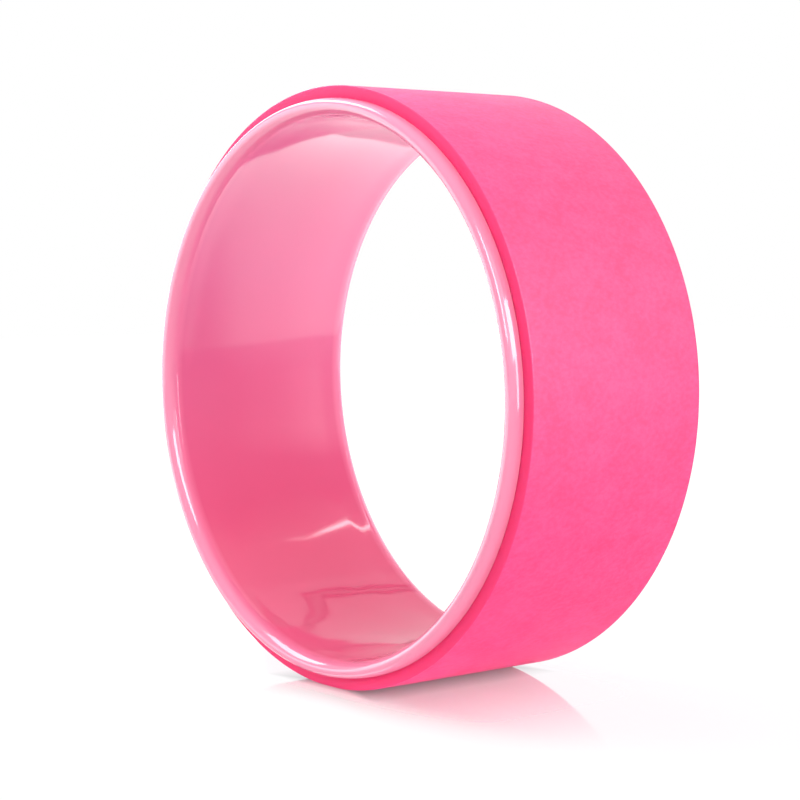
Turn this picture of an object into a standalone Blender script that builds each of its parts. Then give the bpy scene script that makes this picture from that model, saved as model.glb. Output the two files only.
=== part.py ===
"""Yoga wheel: a hard plastic ring moulded in one piece, with a foam tread bonded round it.

The wheel stands on its tread on the plane z = 0, with its centre above the origin.
Its axle line runs along +Y and +Z is up.
"""

import math

import bpy

# The whole wheel, in metres
DIAMETER = 0.320
WIDTH = 0.130

# The foam tread, a strip wrapped once round the ring and butted end to end
TREAD_THICKNESS = 0.0075
TREAD_EDGE_RADIUS = 0.0008
TREAD_SEAM_DEG = 155.0
CONTACT_FLAT_DEPTH = 0.0005

# The double-sided adhesive film that holds the tread
FILM_THICKNESS = 0.0005

# The moulded ring, with a rim at each end that stands out past the tread's side
RIM_REACH = 0.0080
RIM_THICKNESS = 0.0090
RIM_LAND = 0.0014
RIM_OUTER_RADIUS = 0.0024
RIM_BULLNOSE_LENGTH = 0.0062
SEAT_DEPTH = 0.0020
BORE_LEVEL = 0.0080
BORE_LAND = 0.0140
SWELL_BLEND = 0.0080
SWELL_DEPTH = 0.0010

# Clearances between neighbours
BOND_GAP = 0.0003
SIDE_GAP = 0.0003
SEAM_GAP = 0.0003

# How finely round forms are divided
TURN_STEPS = 96
EDGE_STEPS = 3
BULLNOSE_STEPS = 5
SWELL_STEPS = 6
BLEND_STEPS = 3
SHARP_DEG = 35.0

# How far a cutter reaches past what it cuts
CUT_MARGIN = 0.0060

# Places that follow from the sizes above
TREAD_WIDTH = WIDTH - 2 * RIM_REACH
TREAD_RADIUS = DIAMETER / 2
TREAD_BORE = TREAD_RADIUS - TREAD_THICKNESS
FILM_RADIUS = TREAD_BORE - BOND_GAP
FILM_BORE = FILM_RADIUS - FILM_THICKNESS
SEAT_RADIUS = FILM_BORE - BOND_GAP
RIM_RADIUS = SEAT_RADIUS + SEAT_DEPTH
RIM_BORE = RIM_RADIUS - RIM_THICKNESS
RIM_BULLNOSE_DEPTH = RIM_THICKNESS - RIM_OUTER_RADIUS - RIM_LAND
SWELL_END = WIDTH / 2 - BORE_LAND
SWELL_TURN = SWELL_END - SWELL_BLEND
AXLE_HEIGHT = TREAD_RADIUS - CONTACT_FLAT_DEPTH


def clear_scene():
    """Remove every object, so that the script can be run again."""
    for thing in list(bpy.data.objects):
        bpy.data.objects.remove(thing, do_unlink=True)


def new_collection(name):
    """Make a collection under the scene's own."""
    collection = bpy.data.collections.new(name)
    bpy.context.scene.collection.children.link(collection)
    return collection


def new_material(name, colour, roughness):
    """Make a plain dielectric material from a linear colour."""
    material = bpy.data.materials.new(name)
    material.use_nodes = True
    shader = material.node_tree.nodes["Principled BSDF"]
    shader.inputs["Base Color"].default_value = (*colour, 1.0)
    shader.inputs["Roughness"].default_value = roughness
    shader.inputs["Metallic"].default_value = 0.0
    return material


def ring_plastic():
    """Pale pink moulded plastic with a polished face."""
    return new_material("ring_plastic", (0.90, 0.33, 0.50), 0.08)


def tread_foam():
    """Hot pink closed-cell foam with a matt skin."""
    return new_material("tread_foam", (0.95, 0.09, 0.27), 0.75)


def film_adhesive():
    """Milky adhesive film."""
    return new_material("film_adhesive", (0.80, 0.78, 0.74), 0.40)


def arc(centre, half_radial, half_axial, start_deg, end_deg, steps):
    """Points of an elliptical arc in the section plane, as (radius, axial) pairs.

    Angles are measured from the outward radial direction towards +axial.
    """
    points = []
    for step in range(steps + 1):
        angle = math.radians(start_deg + (end_deg - start_deg) * step / steps)
        radius = centre[0] + half_radial * math.cos(angle)
        axial = centre[1] + half_axial * math.sin(angle)
        points.append((radius, axial))
    return points


def mirrored(points):
    """The same points on the other side of the middle plane, in reverse order."""
    return [(radius, -axial) for radius, axial in reversed(points)]


def bore_radius(axial):
    """The bore's radius: least in its middle, swelling towards each rim, then level."""
    slope = 2.0 * SWELL_DEPTH / (SWELL_END - BORE_LEVEL)
    if axial < SWELL_TURN:
        rise = axial - BORE_LEVEL
        return RIM_BORE - SWELL_DEPTH + 0.5 * slope * rise ** 2 / (SWELL_TURN - BORE_LEVEL)
    fall = SWELL_END - axial
    return RIM_BORE - 0.5 * slope * fall ** 2 / SWELL_BLEND


def swell_points():
    """The bore's swell, from the end of its level middle stretch out to its land."""
    points = []
    for start, end, steps in ((BORE_LEVEL, SWELL_TURN, SWELL_STEPS), (SWELL_TURN, SWELL_END, BLEND_STEPS)):
        for step in range(steps):
            axial = start + (end - start) * step / steps
            points.append((bore_radius(axial), axial))
    return points + [(RIM_BORE, SWELL_END)]


def ring_section():
    """Closed section of the ring: down its outer side, then up its bore."""
    half = WIDTH / 2
    corner = RIM_OUTER_RADIUS
    outer_corner = arc((RIM_RADIUS - corner, half - corner), corner, corner, 90.0, 0.0, EDGE_STEPS)
    seat_end = TREAD_WIDTH / 2 + SIDE_GAP
    upper_outer = outer_corner + [(RIM_RADIUS, seat_end), (SEAT_RADIUS, seat_end)]
    bullnose = arc(
        (RIM_BORE + RIM_BULLNOSE_DEPTH, half - RIM_BULLNOSE_LENGTH),
        RIM_BULLNOSE_DEPTH,
        RIM_BULLNOSE_LENGTH,
        180.0,
        90.0,
        BULLNOSE_STEPS,
    )
    upper_bore = swell_points() + bullnose
    return upper_outer + mirrored(upper_outer) + mirrored(upper_bore) + upper_bore


def tread_section():
    """Closed section of the foam tread, with its two outer edges eased."""
    half = TREAD_WIDTH / 2
    edge = TREAD_EDGE_RADIUS
    upper_edge = arc((TREAD_RADIUS - edge, half - edge), edge, edge, 90.0, 0.0, EDGE_STEPS)
    upper = [(TREAD_BORE, half)] + upper_edge
    return upper + mirrored(upper)


def film_section():
    """Closed section of the adhesive film, as wide as the tread."""
    upper = [(FILM_BORE, TREAD_WIDTH / 2), (FILM_RADIUS, TREAD_WIDTH / 2)]
    return upper + mirrored(upper)


def turned_mesh(name, section):
    """Turn a closed section round the local Z axis, with only its real edges sharp."""
    outline = bpy.data.meshes.new(name + "_section")
    vertices = [(radius, 0.0, axial) for radius, axial in section]
    count = len(vertices)
    edges = [(index, (index + 1) % count) for index in range(count)]
    outline.from_pydata(vertices, edges, [])
    turner = bpy.data.objects.new(name + "_section", outline)
    bpy.context.scene.collection.objects.link(turner)
    screw = turner.modifiers.new("turn", "SCREW")
    screw.axis = "Z"
    screw.angle = math.tau
    screw.screw_offset = 0.0
    screw.steps = TURN_STEPS
    screw.render_steps = TURN_STEPS
    screw.use_merge_vertices = True
    screw.merge_threshold = 0.00005
    graph = bpy.context.evaluated_depsgraph_get()
    mesh = bpy.data.meshes.new_from_object(turner.evaluated_get(graph))
    bpy.data.objects.remove(turner, do_unlink=True)
    mesh.name = name
    mesh.shade_smooth()
    mesh.set_sharp_from_angle(angle=math.radians(SHARP_DEG))
    return mesh


def turned(name, section, material, collection, axle):
    """Make a named piece from a section turned round the axle line."""
    mesh = turned_mesh(name, section)
    mesh.materials.append(material)
    piece = bpy.data.objects.new(name, mesh)
    collection.objects.link(piece)
    piece.parent = axle
    return piece


def box_cutter(name, size, location, collection):
    """A wire box that cuts other objects and is left out of the model."""
    bpy.ops.mesh.primitive_cube_add(size=1.0, location=location)
    cutter = bpy.context.object
    cutter.name = name
    cutter.scale = size
    bpy.ops.object.transform_apply(location=False, rotation=False, scale=True)
    for owner in list(cutter.users_collection):
        owner.objects.unlink(cutter)
    collection.objects.link(cutter)
    cutter.hide_render = True
    cutter.display_type = "WIRE"
    return cutter


def contact_cutter(collection):
    """Block under the floor that trims the tread where the wheel's weight presses it flat."""
    size = (DIAMETER / 2, TREAD_WIDTH + 2 * CUT_MARGIN, 2 * CUT_MARGIN)
    return box_cutter("contact_cutter", size, (0.0, 0.0, -CUT_MARGIN), collection)


def seam_cutter(collection):
    """Thin blade that parts the tread and its film where their two ends butt."""
    reach_in = FILM_BORE - BOND_GAP
    reach_out = TREAD_RADIUS + BOND_GAP
    middle = (reach_in + reach_out) / 2
    angle = math.radians(TREAD_SEAM_DEG)
    location = (middle * math.cos(angle), 0.0, AXLE_HEIGHT - middle * math.sin(angle))
    size = (reach_out - reach_in, TREAD_WIDTH + 2 * CUT_MARGIN, SEAM_GAP)
    cutter = box_cutter("seam_cutter", size, location, collection)
    cutter.rotation_euler = (0.0, angle, 0.0)
    return cutter


def cut(piece, cutter):
    """Take the cutter's shape out of a piece."""
    boolean = piece.modifiers.new(cutter.name, "BOOLEAN")
    boolean.operation = "DIFFERENCE"
    boolean.solver = "EXACT"
    boolean.object = cutter


def axle_empty(collection):
    """Empty at the wheel's centre whose local Z axis is the axle line."""
    empty = bpy.data.objects.new("axle", None)
    collection.objects.link(empty)
    empty.location = (0.0, 0.0, AXLE_HEIGHT)
    empty.rotation_euler = (-math.pi / 2, 0.0, 0.0)
    return empty


def build_wheel():
    """Make the ring, the film and the tread round one axle."""
    clear_scene()
    wheel = new_collection("yoga_wheel")
    cutters = new_collection("cutters")
    axle = axle_empty(wheel)
    contact = contact_cutter(cutters)
    seam = seam_cutter(cutters)

    turned("moulded_ring", ring_section(), ring_plastic(), wheel, axle)
    film = turned("adhesive_film", film_section(), film_adhesive(), wheel, axle)
    tread = turned("foam_tread", tread_section(), tread_foam(), wheel, axle)
    cut(film, seam)
    cut(tread, contact)
    cut(tread, seam)


build_wheel()
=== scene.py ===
"""A yoga wheel on a white studio table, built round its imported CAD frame.

The ring and the foam tread are turned finely round the axle line, their finishes are
node materials, and the table, lamps and cards light them as in the photograph.

Lengths are in metres. A compass angle runs from +X towards +Y, seen from above.
"""

from __future__ import annotations

import logging
import math
from dataclasses import dataclass
from enum import Enum
from functools import reduce

import bmesh
import bpy
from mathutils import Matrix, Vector

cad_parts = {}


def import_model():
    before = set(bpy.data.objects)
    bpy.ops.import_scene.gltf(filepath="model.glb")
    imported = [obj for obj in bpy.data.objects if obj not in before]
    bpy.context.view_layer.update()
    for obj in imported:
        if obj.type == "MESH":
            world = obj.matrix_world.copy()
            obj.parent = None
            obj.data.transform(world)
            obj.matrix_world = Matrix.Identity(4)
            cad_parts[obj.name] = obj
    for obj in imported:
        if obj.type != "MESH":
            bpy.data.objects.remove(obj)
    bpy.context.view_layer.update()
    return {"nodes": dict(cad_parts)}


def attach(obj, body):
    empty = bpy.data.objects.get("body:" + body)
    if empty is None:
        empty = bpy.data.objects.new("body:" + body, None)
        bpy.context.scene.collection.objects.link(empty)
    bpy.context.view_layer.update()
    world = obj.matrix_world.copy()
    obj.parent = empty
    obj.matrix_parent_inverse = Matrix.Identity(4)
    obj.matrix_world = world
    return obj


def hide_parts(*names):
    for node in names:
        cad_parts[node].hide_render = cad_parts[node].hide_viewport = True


LOG = logging.getLogger("yoga_wheel")

# Kinds of value
Node = bpy.types.Node
Socket = bpy.types.NodeSocket
Material = bpy.types.Material
Colour = tuple[float, float, float]
SectionPoint = tuple[float, float]
Span = tuple[float, float]

# The axle's height above the table, and the compass angle that leads away from the camera
AXLE_HEIGHT = 0.1595
AWAY_COMPASS_DEG = 140.49

# Shader values that recur
WHITE: Colour = (1.0, 1.0, 1.0)
DARK_ROOM = 0.10
RISING: Span = (0.0, 1.0)
FALLING: Span = (1.0, 0.0)
NOISE_SPAN: Span = (0.3, 0.7)
NOISE_MIDDLE = 0.5

# How the wrapped meshes are made
STRIP_ATTRIBUTE = "strip_place"
WELD_DISTANCE = 0.000002


class Sheen(Enum):
    """How a finish answers a lamp, as a shader roughness."""

    POLISHED = 0.07
    SATIN = 0.38
    MATT = 0.66


class NodeSheet:
    """A node tree under construction, with short calls for the steps that repeat."""

    def __init__(self, tree: bpy.types.NodeTree) -> None:
        """Keep the tree."""
        self.tree = tree

    def add(self, kind: str, **settings: object) -> Node:
        """Add a node and set its plain settings.

        Args:
            kind: The node's type name.
            **settings: Attribute values to set on the node.

        Returns:
            The new node.
        """
        node = self.tree.nodes.new(kind)
        for name, value in settings.items():
            setattr(node, name, value)
        return node

    def plug(self, socket: Socket, value: object) -> None:
        """Link an input socket, or set its value where no socket is given.

        Args:
            socket: The input socket.
            value: An output socket, or a number, vector, colour, name or material.
        """
        if isinstance(value, Socket):
            self.tree.links.new(value, socket)
        elif socket.type == "RGBA":
            socket.default_value = (*value, 1.0)
        else:
            socket.default_value = value

    def feed(self, node: Node, **values: object) -> Node:
        """Set or link a node's input sockets by name.

        Args:
            node: The node whose inputs are set.
            **values: Socket names, with underscores for spaces, and their values.

        Returns:
            The same node.
        """
        for name, value in values.items():
            self.plug(node.inputs[name.replace("_", " ")], value)
        return node

    def work_out(self, operation: str, first: object, second: object = 0.0) -> Socket:
        """Add a Math node.

        Args:
            operation: The Math node's operation.
            first: A number or a socket.
            second: A number or a socket.

        Returns:
            The result.
        """
        node = self.add("ShaderNodeMath", operation=operation)
        self.plug(node.inputs[0], first)
        self.plug(node.inputs[1], second)
        return node.outputs[0]

    def times(self, first: object, second: object) -> Socket:
        """Return the product of two numbers or sockets."""
        return self.work_out("MULTIPLY", first, second)

    def larger(self, first: object, second: object) -> Socket:
        """Return the larger of two numbers or sockets."""
        return self.work_out("MAXIMUM", first, second)

    def size_of(self, value: Socket) -> Socket:
        """Return a value without its sign."""
        return self.work_out("ABSOLUTE", value)

    def remap(self, value: Socket, source: Span, target: Span = RISING) -> Socket:
        """Add a clamped Map Range node.

        Args:
            value: The socket to map.
            source: The first and last value coming in.
            target: The values they become.

        Returns:
            The mapped value.
        """
        node = self.add("ShaderNodeMapRange", clamp=True)
        self.feed(node, Value=value, From_Min=source[0], From_Max=source[1])
        self.feed(node, To_Min=target[0], To_Max=target[1])
        return node.outputs[0]

    def choose(self, share: Socket, low: object, high: object) -> Socket:
        """Mix two numbers.

        Args:
            share: How much of the second number shows, from 0 to 1.
            low: The first number or a socket.
            high: The second number or a socket.

        Returns:
            The mixed number.
        """
        node = self.add("ShaderNodeMix", data_type="FLOAT")
        return self.feed(node, Factor=share, A=low, B=high).outputs[0]

    def blend(self, share: Socket, low: object, high: object) -> Socket:
        """Mix two colours.

        Args:
            share: How much of the second colour shows, from 0 to 1.
            low: The first colour or a colour socket.
            high: The second colour or a colour socket.

        Returns:
            The mixed colour.
        """
        node = self.add("ShaderNodeMix", data_type="RGBA")
        # The colour sockets come last, after those that mix numbers and vectors
        for socket, value in zip((node.inputs[0], *node.inputs[6:8]), (share, low, high)):
            self.plug(socket, value)
        return node.outputs[2]

    def cover(self, share: Socket, under: Socket, over: Socket) -> Socket:
        """Mix two shaders.

        Args:
            share: How much of the second shader shows, from 0 to 1.
            under: The first shader.
            over: The second shader.

        Returns:
            The mixed shader.
        """
        node = self.add("ShaderNodeMixShader")
        for socket, value in zip(node.inputs, (share, under, over)):
            self.plug(socket, value)
        return node.outputs[0]

    def along(self, place: Socket, direction: Vector) -> Socket:
        """Measure a place along a direction.

        Args:
            place: The vector socket to measure.
            direction: The direction to measure it along.

        Returns:
            The dot product of the two.
        """
        node = self.add("ShaderNodeVectorMath", operation="DOT_PRODUCT")
        self.plug(node.inputs[0], place)
        self.plug(node.inputs[1], direction)
        return node.outputs["Value"]

    def split(self, vector: Socket) -> tuple[Socket, ...]:
        """Return a vector's X, Y and Z."""
        return tuple(self.feed(self.add("ShaderNodeSeparateXYZ"), Vector=vector).outputs)

    def noise(self, place: Socket, scale: float, detail: float, roughness: float = 0.5) -> Socket:
        """Add a Noise Texture node.

        Args:
            place: The vector that the noise is read at.
            scale: The noise's scale.
            detail: How many finer layers it has.
            roughness: How strongly the finer layers show.

        Returns:
            The noise, mostly between the ends of NOISE_SPAN.
        """
        node = self.add("ShaderNodeTexNoise")
        self.feed(node, Vector=place, Scale=scale, Detail=detail, Roughness=roughness)
        return node.outputs["Fac"]

    def bump(self, height: Socket, distance: float, strength: float = 1.0) -> Socket:
        """Add a Bump node.

        Args:
            height: The height to show.
            distance: The size of a height of one, in metres.
            strength: How much of the bump shows.

        Returns:
            The bent normal.
        """
        node = self.add("ShaderNodeBump")
        self.feed(node, Strength=strength, Distance=distance, Height=height)
        return node.outputs["Normal"]

    def glow(self, colour: object, strength: object) -> Socket:
        """Return the shader of a face that glows."""
        node = self.add("ShaderNodeEmission")
        return self.feed(node, Color=colour, Strength=strength).outputs[0]

    def place(self) -> Socket:
        """Return the shaded point's place in its object."""
        return self.add("ShaderNodeTexCoord").outputs["Object"]

    def strip_place(self) -> Socket:
        """Return the shaded point's place on the unwrapped strip: along it, axial and radius."""
        node = self.add("ShaderNodeAttribute", attribute_name=STRIP_ATTRIBUTE)
        return node.outputs["Vector"]

    def is_ray(self, kind: str) -> Socket:
        """Return 1 for rays of a kind, such as Glossy, and 0 for others."""
        return self.add("ShaderNodeLightPath").outputs[f"Is {kind} Ray"]

    def seen(self) -> Socket:
        """Return 1 for rays from the camera, from gloss and through glass, and 0 for others."""
        bounced = self.larger(self.is_ray("Glossy"), self.is_ray("Transmission"))
        return self.larger(self.is_ray("Camera"), bounced)


def principled(name: str) -> tuple[Material, NodeSheet, Node]:
    """Make a material that holds only a Principled shader and its output.

    Args:
        name: The material's name.

    Returns:
        The material, its node sheet and the shader node.
    """
    material = bpy.data.materials.new(name)
    material.use_nodes = True
    shader = material.node_tree.nodes["Principled BSDF"]
    return material, NodeSheet(material.node_tree), shader


def blank_material(name: str) -> tuple[Material, NodeSheet, Node]:
    """Make a material that holds only its output.

    Args:
        name: The material's name.

    Returns:
        The material, its node sheet and the output node.
    """
    material = bpy.data.materials.new(name)
    material.use_nodes = True
    material.node_tree.nodes.clear()
    sheet = NodeSheet(material.node_tree)
    return material, sheet, sheet.add("ShaderNodeOutputMaterial")


@dataclass(frozen=True)
class RingPlastic:
    """Pale pink moulded plastic with a polished face; painted shade deepens its colour low in the
    bore, and painted light pales it higher up and partly on the rims.
    """

    # The rims' paler colour is partly the plastic's own tone, with no foam behind it, and partly
    # painted light
    colour: Colour = (0.94, 0.295, 0.460)
    # The bore's colour: paler high up as painted light, deeper low down as painted shade
    painted_light_bore_colour: Colour = (0.74, 0.153, 0.334)
    painted_shade_bore_colour: Colour = (0.79, 0.106, 0.230)
    cloud_scale: float = 9.0
    cloud_detail: float = 3.0
    roughness_spread: float = 0.03
    ior: float = 1.5

    # Where the colours meet: by height in the bore, from painted shade to painted light, by axial
    # place and by radius at its end
    low_to_high: Span = (0.06, 0.22)
    bore_end: Span = (0.0545, 0.0632)
    bore_outside: Span = (0.1466, 0.1474)

    # The face's slight waves, which are stronger low in the bore and stop at the rim
    ripple_scale: float = 38.0
    ripple_detail: float = 1.0
    ripple_height: float = 0.00003
    ripple_end: float = 0.6
    wavy_height: float = 0.040
    wavy_fade: float = 0.025
    wavy_gain: float = 14.0

    def material(self) -> Material:
        """Make the node material.

        Returns:
            The finished material.
        """
        material, sheet, shader = principled("ring_plastic")
        place = sheet.place()
        height = sheet.split(place)[2]
        _, axial, radius = sheet.split(sheet.strip_place())
        # The rims take the paler colour: partly the plastic's own tone, partly painted light
        past_bore = sheet.remap(sheet.size_of(axial), self.bore_end)
        rim_share = sheet.larger(past_bore, sheet.remap(radius, self.bore_outside))
        # Painted shade deepens the bore low down, and painted light pales it higher up
        raised = sheet.remap(height, self.low_to_high)
        bore = sheet.blend(raised, self.painted_shade_bore_colour, self.painted_light_bore_colour)

        low = Sheen.POLISHED.value
        cloud = sheet.noise(place, self.cloud_scale, self.cloud_detail)
        roughness = sheet.remap(cloud, NOISE_SPAN, (low, low + self.roughness_spread))

        wavy = (self.wavy_height, self.wavy_height + self.wavy_fade)
        gain = sheet.remap(height, wavy, (self.wavy_gain, 1.0))
        off_rim = sheet.remap(rim_share, (0.0, self.ripple_end), FALLING)
        ripple = sheet.noise(place, self.ripple_scale, self.ripple_detail)
        wave = sheet.times(sheet.work_out("SUBTRACT", ripple, NOISE_MIDDLE), gain)
        normal = sheet.bump(sheet.times(wave, off_rim), self.ripple_height)

        sheet.feed(shader, Base_Color=sheet.blend(rim_share, bore, self.colour))
        sheet.feed(shader, Roughness=roughness, Normal=normal, IOR=self.ior)
        return material


@dataclass(frozen=True)
class TreadFoam:
    """Hot pink closed-cell foam whose matt skin has a fine, uneven mottle."""

    colour: Colour = (0.97, 0.078, 0.292)
    deep_colour: Colour = (0.96, 0.049, 0.230)
    cut_colour: Colour = (0.97, 0.062, 0.215)

    # The mottle, the broader patches under it and the pores
    grain_stretch: tuple[float, float, float] = (1.0, 0.7, 1.0)
    grain_turn: float = 0.6
    mottle_scale: float = 420.0
    mottle_detail: float = 3.0
    mottle_roughness: float = 0.6
    mottle_height: float = 0.00012
    patch_scale: float = 90.0
    patch_detail: float = 2.0
    patch_weight: float = 0.75
    uneven_span: Span = (0.65, 1.10)
    pore_scale: float = 1500.0
    pore_detail: float = 2.0
    pore_height: float = 0.35

    # Where the eased edge and the cut side face begin, in from the tread's side
    edge_margin: Span = (0.0009, 0.0006)
    cut_margin: Span = (0.0003, 0.0001)

    # How the skin and the cut face answer light
    roughness_spread: float = 0.06
    sheen_weight: float = 0.04
    sheen_roughness: float = 0.4
    skin_shine: float = 0.44
    cut_shine: float = 0.16
    glow_through: float = 0.4
    glow_depth: float = 0.004
    glow_reach: Colour = (1.0, 0.25, 0.35)

    def material(self, half_width: float) -> Material:
        """Make the node material.

        Args:
            half_width: Half the tread's width, where its cut side faces are.

        Returns:
            The finished material.
        """
        material, sheet, shader = principled("tread_foam")
        strip = sheet.strip_place()
        stretch = sheet.add("ShaderNodeMapping")
        sheet.feed(stretch, Vector=strip, Scale=self.grain_stretch)
        sheet.feed(stretch, Rotation=(0.0, 0.0, self.grain_turn))
        grain = stretch.outputs["Vector"]
        mottle = sheet.noise(grain, self.mottle_scale, self.mottle_detail, self.mottle_roughness)
        pores = sheet.noise(strip, self.pore_scale, self.pore_detail)
        patches = sheet.noise(grain, self.patch_scale, self.patch_detail)

        inward = sheet.work_out("SUBTRACT", half_width, sheet.size_of(sheet.split(strip)[1]))
        is_cut = sheet.remap(inward, self.cut_margin)
        is_edge = sheet.work_out("SUBTRACT", sheet.remap(inward, self.edge_margin), is_cut)

        uneven = sheet.work_out("ADD", sheet.times(patches, self.patch_weight), mottle)
        uneven_share = sheet.remap(uneven, self.uneven_span)
        skin = sheet.blend(uneven_share, self.deep_colour, self.colour)
        sheet.feed(shader, Base_Color=sheet.blend(is_cut, skin, self.cut_colour))

        height = sheet.work_out("ADD", mottle, sheet.times(pores, self.pore_height))
        low, high = (Sheen.MATT.value + side * self.roughness_spread for side in (-1, 1))
        edge_polish = sheet.times(is_edge, Sheen.MATT.value - Sheen.SATIN.value)
        matt = sheet.remap(pores, NOISE_SPAN, (low, high))
        sheet.feed(shader, Normal=sheet.bump(height, self.mottle_height))
        sheet.feed(shader, Roughness=sheet.work_out("SUBTRACT", matt, edge_polish))

        fuzz = sheet.remap(is_cut, RISING, (self.sheen_weight, 0.0))
        shine = sheet.remap(is_cut, RISING, (self.skin_shine, self.cut_shine))
        sheet.feed(shader, Sheen_Weight=fuzz, Sheen_Roughness=self.sheen_roughness)
        sheet.feed(shader, Specular_IOR_Level=shine, Subsurface_Weight=self.glow_through)
        sheet.feed(shader, Subsurface_Scale=self.glow_depth, Subsurface_Radius=self.glow_reach)
        return material


@dataclass(frozen=True)
class FilmAdhesive:
    """Milky double-sided adhesive film."""

    colour: Colour = (0.80, 0.78, 0.74)
    fibre_colour: Colour = (0.72, 0.70, 0.66)
    fibre_scale: float = 260.0
    fibre_detail: float = 2.0
    fibre_height: float = 0.00002
    bump_strength: float = 0.5
    roughness_spread: float = 0.1

    def material(self) -> Material:
        """Make the node material.

        Returns:
            The finished material.
        """
        material, sheet, shader = principled("film_adhesive")
        fibre = sheet.noise(sheet.place(), self.fibre_scale, self.fibre_detail)
        low = Sheen.SATIN.value
        roughness = sheet.remap(fibre, NOISE_SPAN, (low, low + self.roughness_spread))
        sheet.feed(shader, Base_Color=sheet.blend(fibre, self.colour, self.fibre_colour))
        sheet.feed(shader, Roughness=roughness)
        sheet.feed(shader, Normal=sheet.bump(fibre, self.fibre_height, self.bump_strength))
        return material


def arc(centre: SectionPoint, sizes: Span, turn: Span, steps: int) -> list[SectionPoint]:
    """Make the points of an elliptical arc in the section plane.

    Args:
        centre: The arc's centre as (radius, axial).
        sizes: Half the ellipse's radial and axial sizes.
        turn: First and last angle in degrees, from outward radial towards +axial.
        steps: The number of pieces.

    Returns:
        The points from start to end, as (radius, axial).
    """
    points = []
    for step in range(steps + 1):
        angle = math.radians(turn[0] + (turn[1] - turn[0]) * step / steps)
        radius = centre[0] + sizes[0] * math.cos(angle)
        points.append((radius, centre[1] + sizes[1] * math.sin(angle)))
    return points


def mirrored(points: list[SectionPoint]) -> list[SectionPoint]:
    """Return the points on the other side of the middle plane, in reverse order."""
    return [(radius, -axial) for radius, axial in reversed(points)]


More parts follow.
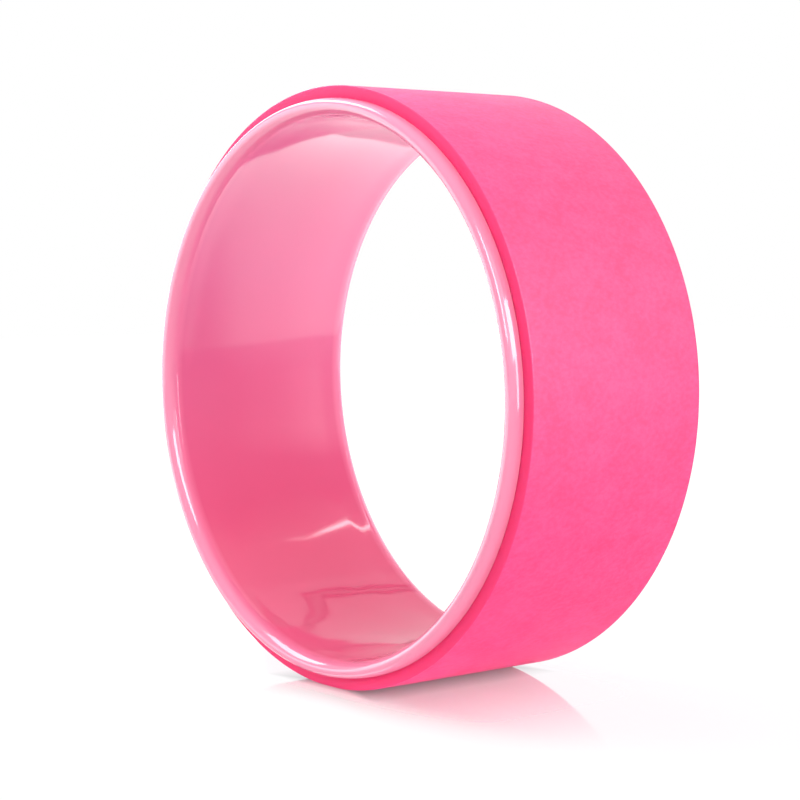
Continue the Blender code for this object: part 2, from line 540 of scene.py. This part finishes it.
class WrapTree:
    """Geometry Nodes tree that runs a section along a line and wraps it round the axle."""

    def __init__(self) -> None:
        """Build the tree."""
        self.group = bpy.data.node_groups.new("wrap_round_axle", "GeometryNodeTree")
        self.group.is_modifier = True
        self.identifiers: dict[str, str] = {}
        self._sockets()
        self._nodes()

    def _sockets(self) -> None:
        """Add the named inputs and the output."""
        face = self.group.interface
        inputs = {
            "Section": "NodeSocketGeometry",
            "Start Angle": "NodeSocketFloat",
            "Sweep Angle": "NodeSocketFloat",
            "Turn Steps": "NodeSocketInt",
            "Axle Height": "NodeSocketFloat",
            "Strip Radius": "NodeSocketFloat",
            "Close Ends": "NodeSocketBool",
            "Finish": "NodeSocketMaterial",
        }
        for name, kind in inputs.items():
            socket = face.new_socket(name, in_out="INPUT", socket_type=kind)
            self.identifiers[name] = socket.identifier
        face.new_socket("Wrapped", in_out="OUTPUT", socket_type="NodeSocketGeometry")

    def _nodes(self) -> None:
        """Fill the tree: sweep the section, wrap it round the axle, weld it and finish it."""
        sheet = NodeSheet(self.group)
        given = sheet.add("NodeGroupInput").outputs
        swept = self._sweep(sheet, given)
        position = sheet.add("GeometryNodeInputPosition").outputs["Position"]
        along, axial, radius = sheet.split(position)
        turned = sheet.times(along, given["Sweep Angle"])
        angle = sheet.work_out("ADD", turned, given["Start Angle"])
        across = sheet.times(radius, sheet.work_out("SINE", angle))
        upward = sheet.times(radius, sheet.work_out("COSINE", angle))
        height = sheet.larger(sheet.work_out("ADD", upward, given["Axle Height"]), 0.0)
        length = sheet.times(turned, given["Strip Radius"])
        wrapped = sheet.feed(sheet.add("ShaderNodeCombineXYZ"), X=across, Y=axial, Z=height)
        strip = sheet.feed(sheet.add("ShaderNodeCombineXYZ"), X=length, Y=axial, Z=radius)

        keep = sheet.add("GeometryNodeStoreNamedAttribute", data_type="FLOAT_VECTOR")
        keep.domain = "POINT"
        sheet.feed(keep, Geometry=swept, Name=STRIP_ATTRIBUTE, Value=strip.outputs["Vector"])
        bend = sheet.add("GeometryNodeSetPosition")
        sheet.feed(bend, Geometry=keep.outputs[0], Position=wrapped.outputs["Vector"])
        weld = sheet.add("GeometryNodeMergeByDistance")
        sheet.feed(weld, Geometry=bend.outputs[0], Distance=WELD_DISTANCE)
        real = sheet.add("GeometryNodeRealizeInstances")
        sheet.feed(real, Geometry=weld.outputs[0])
        finish = sheet.add("GeometryNodeSetMaterial")
        sheet.feed(finish, Geometry=real.outputs[0], Material=given["Finish"])
        sheet.feed(sheet.add("NodeGroupOutput"), Wrapped=finish.outputs[0])

    @staticmethod
    def _sweep(sheet: NodeSheet, given: bpy.types.NodeOutputs) -> Socket:
        """Run the section along a straight rail one metre long.

        Args:
            sheet: The tree's sheet.
            given: The tree's named inputs.

        Returns:
            The swept mesh.
        """
        rail = sheet.add("GeometryNodeCurvePrimitiveLine")
        sheet.feed(rail, Start=(0.0, 0.0, 0.0), End=(1.0, 0.0, 0.0))
        count = sheet.work_out("ADD", given["Turn Steps"], 1.0)
        stations = sheet.add("GeometryNodeResampleCurve")
        sheet.feed(stations, Curve=rail.outputs["Curve"], Count=count)
        outline = sheet.feed(sheet.add("GeometryNodeMeshToCurve"), Mesh=given["Section"])
        swept = sheet.add("GeometryNodeCurveToMesh")
        sheet.feed(swept, Curve=stations.outputs["Curve"], Fill_Caps=given["Close Ends"])
        sheet.feed(swept, Profile_Curve=outline.outputs["Curve"])
        return swept.outputs["Mesh"]

    def wrap(
        self, name: str, section: list[SectionPoint], settings: dict[str, object]
    ) -> bpy.types.Object:
        """Wrap a closed section and return the result as a plain mesh object.

        Args:
            name: The piece's name.
            section: The section's points as (radius, axial), in order.
            settings: A value for each named input of the tree, less the section itself.

        Returns:
            The piece, with its place in its mesh.
        """
        outline = bpy.data.meshes.new(name + "_section")
        count = len(section)
        # A swept profile's X and Y come out along -Y and -Z of a rail that runs along +X
        corners = [(-axial, -radius, 0.0) for radius, axial in section]
        outline.from_pydata(corners, [(i, (i + 1) % count) for i in range(count)], [])
        piece = bpy.data.objects.new(name, outline)
        bpy.context.scene.collection.objects.link(piece)
        modifier = piece.modifiers.new("wrap", "NODES")
        modifier.node_group = self.group
        for label, value in settings.items():
            modifier[self.identifiers[label]] = value
        graph = bpy.context.evaluated_depsgraph_get()
        mesh = bpy.data.meshes.new_from_object(piece.evaluated_get(graph))
        piece.modifiers.remove(modifier)
        piece.data = mesh
        mesh.name = name
        return piece


def face_outward(mesh: bpy.types.Mesh, sharp_deg: float) -> None:
    """Turn a closed mesh's faces outward and shade it smooth between its real edges.

    Args:
        mesh: The mesh to finish.
        sharp_deg: Edges that turn by more than this stay sharp.
    """
    shape = bmesh.new()
    shape.from_mesh(mesh)
    bmesh.ops.recalc_face_normals(shape, faces=shape.faces)
    shape.to_mesh(mesh)
    shape.free()
    mesh.shade_smooth()
    mesh.set_sharp_from_angle(angle=math.radians(sharp_deg))


@dataclass
class MouldedRing:
    """The hard ring: a rounded rim at each end, a seat for the tread and a flared bore."""

    half_width: float = 0.065

    # The rim's outside, its eased corner and the tread's seat
    rim_radius: float = 0.1534
    corner_depth: float = 0.0032
    corner_length: float = 0.0058
    seat_radius: float = 0.1514
    seat_end: float = 0.0573
    seat_corner: float = 0.0002

    # The bore's swell, by its distances from the middle plane, and the rim's bullnose
    rim_bore: float = 0.1444
    swell_depth: float = 0.0010
    swell_start: float = 0.008
    swell_turn: float = 0.043
    swell_end: float = 0.051
    bullnose_turn_deg: float = 45.0
    bullnose_slow: float = 0.0094
    bullnose_quick: float = 0.0034

    # How finely round forms are divided
    turn_steps: int = 384
    corner_steps: int = 14
    slow_steps: int = 14
    quick_steps: int = 12
    rise_steps: int = 24
    level_steps: int = 12
    middle_shares: Span = (0.35, 0.7)
    sharp_deg: float = 40.0

    def upper_outer(self) -> list[SectionPoint]:
        """Run down the outer side, from the end land to the seat.

        Returns:
            The points, as (radius, axial).
        """
        sizes = (self.corner_depth, self.corner_length)
        centre = (self.rim_radius - sizes[0], self.half_width - sizes[1])
        return [
            *arc(centre, sizes, (90.0, 0.0), self.corner_steps),
            (self.rim_radius, self.seat_end + self.seat_corner),
            (self.rim_radius - self.seat_corner, self.seat_end),
            (self.seat_radius, self.seat_end),
        ]

    def bore_radius(self, axial: float) -> float:
        """Work out the bore's radius, which swells towards the rim and then runs level.

        Args:
            axial: The distance from the middle plane.

        Returns:
            The bore's radius there.
        """
        slope = 2.0 * self.swell_depth / (self.swell_end - self.swell_start)
        if axial < self.swell_turn:
            rise = max(axial - self.swell_start, 0.0)
            swell = 0.5 * slope * rise**2 / (self.swell_turn - self.swell_start)
            return self.rim_bore - self.swell_depth + swell
        fall = max(self.swell_end - axial, 0.0)
        return self.rim_bore - 0.5 * slope * fall**2 / (self.swell_end - self.swell_turn)

    def upper_bore(self) -> list[SectionPoint]:
        """Run along the bore, from its middle stretch out to the end land.

        Returns:
            The points, as (radius, axial).
        """
        stations = [self.swell_start * share for share in self.middle_shares]
        for start, end, steps in (
            (self.swell_start, self.swell_turn, self.rise_steps),
            (self.swell_turn, self.swell_end, self.level_steps),
        ):
            stations += [start + (end - start) * step / steps for step in range(steps)]
        bore = [(self.bore_radius(axial), axial) for axial in [*stations, self.swell_end]]
        return bore + self.bullnose()

    def bullnose(self) -> list[SectionPoint]:
        """Round the rim: a slow arc out of the bore, then a quick one onto the end face.

        Returns:
            The points, as (radius, axial).
        """
        turn = math.radians(self.bullnose_turn_deg)
        meet = 180.0 - self.bullnose_turn_deg
        slow, quick = self.bullnose_slow, self.bullnose_quick
        end = self.half_width - quick * (1.0 - math.sin(turn))
        slow_centre = (self.rim_bore + slow, end - slow * math.sin(turn))
        quick_radius = self.rim_bore + slow - (slow - quick) * math.cos(turn)
        quick_centre = (quick_radius, self.half_width - quick)
        slow_arc = arc(slow_centre, (slow, slow), (180.0, meet), self.slow_steps)
        return slow_arc + arc(quick_centre, (quick, quick), (meet, 90.0), self.quick_steps)[1:]

    def section(self) -> list[SectionPoint]:
        """Return the closed section, down the outer side and up the bore."""
        outer, bore = self.upper_outer(), self.upper_bore()
        return outer + mirrored(outer) + mirrored(bore) + bore

    def build(self, tree: WrapTree, finish: Material) -> bpy.types.Object:
        """Make the ring.

        Args:
            tree: The tree that wraps a section.
            finish: The ring's material.

        Returns:
            The finished piece.
        """
        settings = {
            "Start Angle": 0.0,
            "Sweep Angle": math.tau,
            "Turn Steps": self.turn_steps,
            "Axle Height": AXLE_HEIGHT,
            "Strip Radius": self.rim_bore,
            "Close Ends": False,
            "Finish": finish,
        }
        piece = tree.wrap("ring_moulding", self.section(), settings)
        face_outward(piece.data, self.sharp_deg)
        return piece


@dataclass
class FoamTread:
    """The foam strip, wrapped once round the seat and butted end to end."""

    half_width: float = 0.05726
    radius: float = 0.160
    bore: float = 0.1525
    edge_radius: float = 0.0008
    inner_edge: float = 0.0002
    seam_deg: float = 245.0
    seam_gap: float = 0.0003
    turn_steps: int = 420
    edge_steps: int = 6
    sharp_deg: float = 50.0

    def section(self) -> list[SectionPoint]:
        """Run round the section, with its two outer edges eased.

        Returns:
            The closed section's points, as (radius, axial).
        """
        edge, inner = self.edge_radius, self.inner_edge
        centre = (self.radius - edge, self.half_width - edge)
        upper = [(self.bore, self.half_width - inner), (self.bore + inner, self.half_width)]
        upper += arc(centre, (edge, edge), (90.0, 0.0), self.edge_steps)
        return upper + mirrored(upper)

    def build(self, tree: WrapTree, finish: Material) -> bpy.types.Object:
        """Make the tread.

        Args:
            tree: The tree that wraps a section.
            finish: The foam's material.

        Returns:
            The finished piece.
        """
        half_gap = self.seam_gap / 2 / self.radius
        settings = {
            "Start Angle": math.radians(self.seam_deg) + half_gap,
            "Sweep Angle": math.tau - 2 * half_gap,
            "Turn Steps": self.turn_steps,
            "Axle Height": AXLE_HEIGHT,
            "Strip Radius": self.radius,
            "Close Ends": True,
            "Finish": finish,
        }
        piece = tree.wrap("tread_strip", self.section(), settings)
        face_outward(piece.data, self.sharp_deg)
        return piece


def towards(compass_deg: float, elevation_deg: float = 0.0) -> Vector:
    """Make the unit vector in a direction.

    Args:
        compass_deg: The direction's compass angle.
        elevation_deg: Its angle above the level.

    Returns:
        The unit vector.
    """
    compass, elevation = math.radians(compass_deg), math.radians(elevation_deg)
    level = math.cos(elevation)
    return Vector((math.cos(compass) * level, math.sin(compass) * level, math.sin(elevation)))


def from_camera(right: float, away: float) -> Vector:
    """Find a place on the table's level by how the camera sees it.

    Args:
        right: Metres to the camera's right of the wheel's foot.
        away: Metres further from the camera than the wheel's foot.

    Returns:
        The place.
    """
    return towards(AWAY_COMPASS_DEG) * away + towards(AWAY_COMPASS_DEG - 90.0) * right


@dataclass(frozen=True)
class Softbox:
    """A soft lamp that lights the wheel but isn't mirrored in it."""

    name: str
    compass_deg: float
    elevation_deg: float
    distance: float
    width: float
    height: float
    radiance: float
    aim: tuple[float, float, float] = (0.0, 0.0, AXLE_HEIGHT)

    def build(self) -> None:
        """Make the lamp, turned to the place it is aimed at."""
        outward = towards(self.compass_deg, self.elevation_deg)
        light = bpy.data.lights.new(self.name, "AREA")
        light.shape = "RECTANGLE"
        light.size, light.size_y = self.width, self.height
        light.energy = self.radiance * math.pi * self.width * self.height
        lamp = bpy.data.objects.new(self.name, light)
        lamp.location = Vector(self.aim) + outward * self.distance
        lamp.rotation_euler = (-outward).to_track_quat("-Z", "Y").to_euler()
        lamp.visible_camera = False
        lamp.visible_glossy = False
        bpy.context.scene.collection.objects.link(lamp)


@dataclass(frozen=True)
class MirroredCard:
    """An upright card that only gloss sees, as bright or dark as its radiance says.

    It can fade to the dark room's glow at its top, and at the side where its compass
    angle is least.
    """

    name: str
    place: Vector
    facing_deg: float
    width: float
    bottom: float
    top: float
    radiance: float
    fade: float = 0.0
    fade_aside: float = 0.0

    @classmethod
    def facing_wheel(
        cls, name: str, compass_deg: float, distance: float, *sizes: float
    ) -> MirroredCard:
        """Return a card that faces the wheel from a compass angle and a distance."""
        return cls(name, towards(compass_deg) * distance, compass_deg, *sizes)

    def build(self) -> None:
        """Make the card, which only gloss sees."""
        half = towards(self.facing_deg + 90.0) * (self.width / 2)
        low, high = Vector((0.0, 0.0, self.bottom)), Vector((0.0, 0.0, self.top))
        corners = [-half + low, half + low, half + high, -half + high]
        mesh = bpy.data.meshes.new(self.name)
        mesh.from_pydata([tuple(self.place + corner) for corner in corners], [], [(0, 1, 2, 3)])
        mesh.materials.append(self._finish())
        card = bpy.data.objects.new(self.name, mesh)
        card.visible_camera = False
        card.visible_diffuse = False
        card.visible_shadow = False
        bpy.context.scene.collection.objects.link(card)

    def _finish(self) -> Material:
        """Make the card's glow, with the fades that it is given.

        Returns:
            The finished material.
        """
        material, sheet, end = blank_material(self.name)
        shares = []
        if self.fade > 0.0:
            height = sheet.split(sheet.place())[2]
            shares.append(sheet.remap(height, (self.top - self.fade, self.top), FALLING))
        if self.fade_aside > 0.0:
            across = towards(self.facing_deg + 90.0)
            edge = self.place.dot(across) - self.width / 2
            aside = sheet.along(sheet.place(), across)
            shares.append(sheet.remap(aside, (edge, edge + self.fade_aside)))
        strength = self.radiance
        if shares:
            share = reduce(sheet.times, shares)
            strength = sheet.remap(share, RISING, (DARK_ROOM, self.radiance))
        sheet.feed(end, Surface=sheet.glow(WHITE, strength))
        return material


@dataclass(frozen=True)
class TableFinish:
    """The white table, which the camera, gloss and light each see in their own way.

    The camera sees white, with a painted contact shadow at the wheel's foot, painted pink
    bounce light in the shade near the wheel, and the wheel's image in the polish. Gloss
    sees painted light and painted shade on stretches of the table, and the room past its
    edges. As light, the table is a grey that throws a little back.
    """

    # The paint, tinted so that the wheel's shade reads pink as painted bounce light, and the
    # table as light
    pink_shade_paint: Colour = (0.06, 0.20, 0.13)
    bounce_grey: float = 0.70
    bounce_glow: float = 0.10

    # What the camera sees: the glow, pink near the wheel as painted bounce light, the painted
    # contact shadow and the polish
    painted_bounce_colour: Colour = (0.95, 0.83, 0.895)
    painted_bounce_reach: Span = (0.35, 1.6)
    # The painted contact shadow along the tread's foot
    contact_beside: Span = (0.010, 0.050)
    contact_along: Span = (0.050, 0.064)
    painted_contact_glow: float = 0.05
    polish: float = 0.57
    polish_beside: Span = (0.03, 0.21)
    polish_along: Span = (0.040, 0.100)

    # What gloss sees: painted light on the stretch behind the wheel and on the one to its left,
    # with painted shade in front of the wheel
    near_glow: float = 1.25
    behind: Span = (0.25, 1.0)
    behind_glow: float = 2.6
    behind_from: Span = (0.0, 0.17)
    front_shade: Span = (-0.22, -0.10)
    left_glow: float = 4.6
    left_from: Span = (0.12, 0.85)
    left_edge: Span = (-0.30, -0.02)

    # What gloss sees: a round painted shade near the wheel, and a long painted shadow along its
    # foot
    shade_place: Span = (0.06, -0.08)
    shade_reach: Span = (0.02, 0.06)
    shade_glow: float = 0.3
    foot_left: Span = (-0.12, -0.06)
    foot_near: Span = (-0.12, -0.07)
    foot_far: Span = (0.06, 0.13)
    foot_slant: float = 0.55
    foot_glow: float = 0.25

    # What gloss sees: the table's edges, and the room past them by the ratio of away to right
    right_edge: float = 0.587
    back_edge: float = 0.530
    room_glow: float = 1.15
    room_from: Span = (-0.30, -0.07)
    least_right: float = 0.05

    def material(self) -> Material:
        """Make the node material.

        Returns:
            The finished material.
        """
        material, sheet, end = blank_material("table_white")
        seen, is_gloss = sheet.seen(), sheet.is_ray("Glossy")
        # Seen by the camera, the paint's tint and the pink glow near the wheel paint bounce light
        # into its shade
        pink_shade_paint = sheet.add("ShaderNodeBsdfDiffuse")
        sheet.feed(pink_shade_paint, Color=sheet.blend(seen, (self.bounce_grey,) * 3, self.pink_shade_paint))
        shown = sheet.choose(is_gloss, self._painted_contact_shadow(sheet), self._painted_light(sheet))
        strength = sheet.choose(seen, self.bounce_glow, shown)
        glow = sheet.glow(self._white_with_painted_bounce(sheet), strength)
        white = sheet.add("ShaderNodeAddShader")
        sheet.plug(white.inputs[0], pink_shade_paint.outputs[0])
        sheet.plug(white.inputs[1], glow)
        polish = sheet.add("ShaderNodeBsdfGlossy")
        sheet.feed(polish, Color=WHITE, Roughness=Sheen.POLISHED.value)
        top = sheet.cover(self._polish_share(sheet), white.outputs[0], polish.outputs[0])
        beyond, room = self._room(sheet)
        surface = sheet.cover(sheet.times(beyond, is_gloss), top, sheet.glow(WHITE, room))
        sheet.feed(end, Surface=surface)
        return material

    def _white_with_painted_bounce(self, sheet: NodeSheet) -> Socket:
        """Colour the glow: white, but pink for what the camera sees near the wheel, as painted
        bounce light.

        Args:
            sheet: The material's sheet.

        Returns:
            The glow's colour.
        """
        reach = sheet.add("ShaderNodeVectorMath", operation="LENGTH")
        sheet.plug(reach.inputs[0], sheet.place())
        near = sheet.remap(reach.outputs["Value"], self.painted_bounce_reach, FALLING)
        return sheet.blend(sheet.times(near, sheet.is_ray("Camera")), WHITE, self.painted_bounce_colour)

    def _painted_contact_shadow(self, sheet: NodeSheet) -> Socket:
        """Paint a contact shadow on the table where the tread stands on it.

        Args:
            sheet: The material's sheet.

        Returns:
            The glow that the camera sees.
        """
        across, axial, _ = sheet.split(sheet.place())
        beside = sheet.remap(sheet.size_of(across), self.contact_beside)
        along = sheet.remap(sheet.size_of(axial), self.contact_along)
        return sheet.remap(sheet.larger(beside, along), RISING, (self.painted_contact_glow, 1.0))

    def _painted_light(self, sheet: NodeSheet) -> Socket:
        """Paint light on the stretches of the table behind the wheel and to its left, with
        painted shade in front of the wheel.

        Args:
            sheet: The material's sheet.

        Returns:
            The glow that gloss sees.
        """
        place = sheet.place()
        back = sheet.along(place, from_camera(*self.behind))
        behind = sheet.remap(back, self.behind_from, (self.near_glow, self.behind_glow))
        in_front = sheet.remap(back, self.front_shade, (self.shade_glow, 1.0))
        leftward = sheet.along(place, from_camera(-1.0, 0.0))
        left = sheet.remap(leftward, self.left_from, (self.near_glow, self.left_glow))
        past_rims = sheet.remap(sheet.split(place)[0], self.left_edge, (1.0, self.shade_glow))
        lit = sheet.larger(sheet.times(behind, in_front), sheet.times(left, past_rims))
        return sheet.times(lit, self._painted_shade(sheet))

    def _painted_shade(self, sheet: NodeSheet) -> Socket:
        """Paint shade on a round place near the wheel and on the stretch along its foot.

        Args:
            sheet: The material's sheet.

        Returns:
            The share of the glow that is left.
        """
        distance = sheet.add("ShaderNodeVectorMath", operation="DISTANCE")
        sheet.plug(distance.inputs[0], sheet.place())
        sheet.plug(distance.inputs[1], from_camera(*self.shade_place))
        reach = distance.outputs["Value"]
        shade = sheet.remap(reach, self.shade_reach, (self.shade_glow, 1.0))
        across, axial, _ = sheet.split(sheet.place())
        past_left = sheet.remap(across, self.foot_left, FALLING)
        past_near = sheet.remap(axial, self.foot_near, FALLING)
        slanted = sheet.work_out("SUBTRACT", axial, sheet.times(across, self.foot_slant))
        past_far = sheet.remap(slanted, self.foot_far)
        past_foot = reduce(sheet.larger, (past_left, past_near, past_far))
        return sheet.times(shade, sheet.remap(past_foot, RISING, (self.foot_glow, 1.0)))

    def _polish_share(self, sheet: NodeSheet) -> Socket:
        """Polish the table most right beside the tread, and not at all further off.

        Args:
            sheet: The material's sheet.

        Returns:
            How much the table mirrors.
        """
        across, axial, _ = sheet.split(sheet.place())
        shares = []
        for side, (full, none) in ((across, self.polish_beside), (axial, self.polish_along)):
            share = sheet.add("ShaderNodeMapRange", clamp=True)
            share.interpolation_type = "SMOOTHSTEP"
            sheet.feed(share, Value=sheet.size_of(side), From_Min=full, From_Max=none)
            sheet.feed(share, To_Min=1.0, To_Max=0.0)
            shares.append(share.outputs[0])
        return sheet.times(sheet.times(*shares), self.polish)

    def _room(self, sheet: NodeSheet) -> tuple[Socket, Socket]:
        """Find where gloss sees the room past the table's edges, and how brightly.

        Args:
            sheet: The material's sheet.

        Returns:
            A socket that is 1 past the edges, and the room's glow there.
        """
        place = sheet.place()
        right = sheet.along(place, from_camera(1.0, 0.0))
        back = sheet.along(place, from_camera(0.0, 1.0))
        beyond = sheet.larger(
            sheet.work_out("GREATER_THAN", right, self.right_edge),
            sheet.work_out("GREATER_THAN", back, self.back_edge),
        )
        slant = sheet.work_out("DIVIDE", back, sheet.larger(right, self.least_right))
        return beyond, sheet.remap(slant, self.room_from, (DARK_ROOM, self.room_glow))


@dataclass
class Studio:
    """The white table, the pale surroundings, the soft lamps and what the ring mirrors."""

    table_reach: float = 4.0
    ambient: float = 0.71

    # The direction that little light comes from, how wide it is and what is left there
    flag_at: Span = (10.0, 52.0)
    flag_spread: Span = (0.70, 0.92)
    flag_glow: float = 0.16

    # The framed panel that the bore mirrors, in layers that stand one behind the other
    panel_at: Span = (0.227, 1.63)
    panel_facing_deg: float = 80.0
    layer_step: float = 0.01

    def table(self) -> None:
        """Make the table top."""
        half = self.table_reach
        corners = [(-half, -half, 0), (half, -half, 0), (half, half, 0), (-half, half, 0)]
        mesh = bpy.data.meshes.new("table_top")
        mesh.from_pydata(corners, [], [(0, 1, 2, 3)])
        mesh.materials.append(TableFinish().material())
        top = bpy.data.objects.new("table_top", mesh)
        bpy.context.scene.collection.objects.link(top)

    def surroundings(self) -> None:
        """Make the world: white to the camera and in gloss, softer as light."""
        world = bpy.data.worlds.new("pale_room")
        bpy.context.scene.world = world
        world.use_nodes = True
        sheet = NodeSheet(world.node_tree)
        direction = sheet.add("ShaderNodeTexCoord").outputs["Generated"]
        to_flag = sheet.along(direction, towards(*self.flag_at))
        soft = sheet.remap(to_flag, self.flag_spread, (self.ambient, self.flag_glow))
        background = world.node_tree.nodes["Background"]
        sheet.feed(background, Color=WHITE, Strength=sheet.choose(sheet.seen(), soft, 1.0))

    @staticmethod
    def lamps() -> list[Softbox]:
        """List the soft lamps.

        Each row gives the lamp's name, compass angle, elevation, distance, width, height
        and radiance.

        Returns:
            The lamps, in the order they are made.
        """
        back_top, near_top = (-0.05, 0.0, 0.27), (-0.06, 0.0, 0.28)
        return [
            Softbox("left_softbox", 190.0, 42.0, 2.0, 2.0, 1.0, 1.1),
            Softbox("right_softbox", 0.0, 9.0, 2.0, 1.4, 1.3, 2.3),
            Softbox("far_right_softbox", 26.0, 10.0, 2.0, 0.8, 0.9, 1.6),
            Softbox("near_softbox", 305.0, 20.0, 2.0, 1.4, 1.2, 1.7),
            Softbox("low_back_lamp", 82.0, -27.0, 0.52, 0.50, 0.30, 6.0, aim=back_top),
            Softbox("near_top_softbox", 252.0, 60.0, 0.38, 0.30, 0.30, 3.2, aim=near_top),
            Softbox("top_softbox", 200.0, 70.0, 2.0, 1.3, 1.3, 0.85),
        ]

    def panel(self) -> list[MirroredCard]:
        """List the layers of the framed panel, front to back.

        Each row gives the layer's name, width, bottom, top and radiance.

        Returns:
            The panel, its frame, the pale gap round the frame and its shadow.
        """
        right, away = self.panel_at
        rows = (
            ("framed_panel", 1.02, 0.5, 1.46, 1.0),
            ("panel_frame", 1.12, 0.46, 1.51, 0.0),
            ("frame_gap", 1.20, 0.455, 1.56, 0.9),
            ("panel_shadow", 1.32, 0.45, 1.62, 0.0),
        )
        layers = []
        for order, (name, *sizes) in enumerate(rows):
            place = from_camera(right, away + order * self.layer_step)
            layers.append(MirroredCard(name, place, self.panel_facing_deg, *sizes))
        return layers

    def cards(self) -> list[MirroredCard]:
        """List what only gloss sees: the dark room, a strip lamp, the panel and softboxes.

        Each row gives the card's name, place, facing, width, bottom, top, radiance and
        fades. A card set by its compass angle and distance faces the wheel.

        Returns:
            The cards, in the order they are made.
        """
        facing = MirroredCard.facing_wheel
        aside = AWAY_COMPASS_DEG - 90.0
        wall, back = from_camera(2.6, 0.5), from_camera(1.0, 2.6)
        strip = from_camera(1.277, 0.572)
        return [
            MirroredCard("dark_wall_right", wall, aside, 5.0, 0.0, 7.0, 0.16),
            facing("pale_wall", 43.5, 2.2, 0.66, 0.0, 1.3, 1.8, 0.5, 0.5),
            facing("pale_ceiling", 76.0, 2.3, 2.4, 2.1, 6.5, 0.85, 0.0, 1.0),
            MirroredCard("dim_wall_back", back, AWAY_COMPASS_DEG, 3.2, 0.80, 7.0, 1.05),
            MirroredCard("strip_lamp", strip, 74.6, 0.036, 0.3, 1.92, 16.0, 0.3),
            *self.panel(),
            facing("high_left_softbox", 196.0, 1.6, 1.0, 1.2, 3.1, 9.0),
            facing("left_wall", 198.0, 1.4, 1.80, 0.0, 0.55, 4.6),
            facing("over_camera_softbox", 321.0, 1.6, 0.52, 0.60, 2.2, 16.0),
            facing("near_right_window", 352.0, 1.7, 1.10, 0.45, 2.2, 2.9),
            facing("back_right_softbox", 19.0, 1.9, 0.52, 0.0, 0.95, 10.0, 0.3),
            facing("back_left_softbox", 161.0, 2.2, 1.1, 0.0, 1.9, 4.5, 0.4),
            facing("right_softbox_face", 10.0, 1.5, 0.84, 0.46, 1.05, 15.0),
        ]

    def build(self) -> None:
        """Make everything in the studio."""
        self.table()
        self.surroundings()
        for item in [*self.lamps(), *self.cards()]:
            item.build()


@dataclass(frozen=True)
class PhotoCamera:
    """The camera's place and aim, fitted to the photograph's outlines of the wheel."""

    compass_deg: float = AWAY_COMPASS_DEG + 180.0
    elevation_deg: float = 3.706
    distance: float = 1.1468

    # How far the aim is turned off the wheel's centre, and the lens in the photo's pixels
    yaw_deg: float = 0.320
    pitch_deg: float = 0.414
    focal_px: float = 2091.6
    frame_px: float = 800.0

    def build(self) -> None:
        """Make the scene's camera."""
        data = bpy.data.cameras.new("photo_camera")
        data.angle = 2 * math.atan(self.frame_px / 2 / self.focal_px)
        camera = bpy.data.objects.new("photo_camera", data)
        outward = towards(self.compass_deg, self.elevation_deg)
        camera.location = Vector((0.0, 0.0, AXLE_HEIGHT)) + outward * self.distance
        aim = -towards(self.compass_deg + self.yaw_deg, self.elevation_deg + self.pitch_deg)
        camera.rotation_euler = aim.to_track_quat("-Z", "Y").to_euler()
        bpy.context.scene.collection.objects.link(camera)
        bpy.context.scene.camera = camera


def main() -> None:
    """Build the wheel round its frame, then the camera and the studio."""
    logging.basicConfig(level=logging.INFO, format="%(message)s")
    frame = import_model()
    tree = WrapTree()

    ring_piece = MouldedRing().build(tree, RingPlastic().material())
    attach(ring_piece, "root")
    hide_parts("moulded_ring")
    LOG.info("%s: %d faces", ring_piece.name, len(ring_piece.data.polygons))

    tread = FoamTread()
    tread_piece = tread.build(tree, TreadFoam().material(tread.half_width))
    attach(tread_piece, "root")
    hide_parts("foam_tread")
    LOG.info("%s: %d faces", tread_piece.name, len(tread_piece.data.polygons))

    film = frame["nodes"]["adhesive_film"]
    film.data.materials.clear()
    film.data.materials.append(FilmAdhesive().material())
    LOG.info("adhesive_film: %d faces", len(film.data.polygons))

    PhotoCamera().build()
    Studio().build()
    bpy.context.scene.view_settings.view_transform = "Standard"


if __name__ == "__main__":
    main()
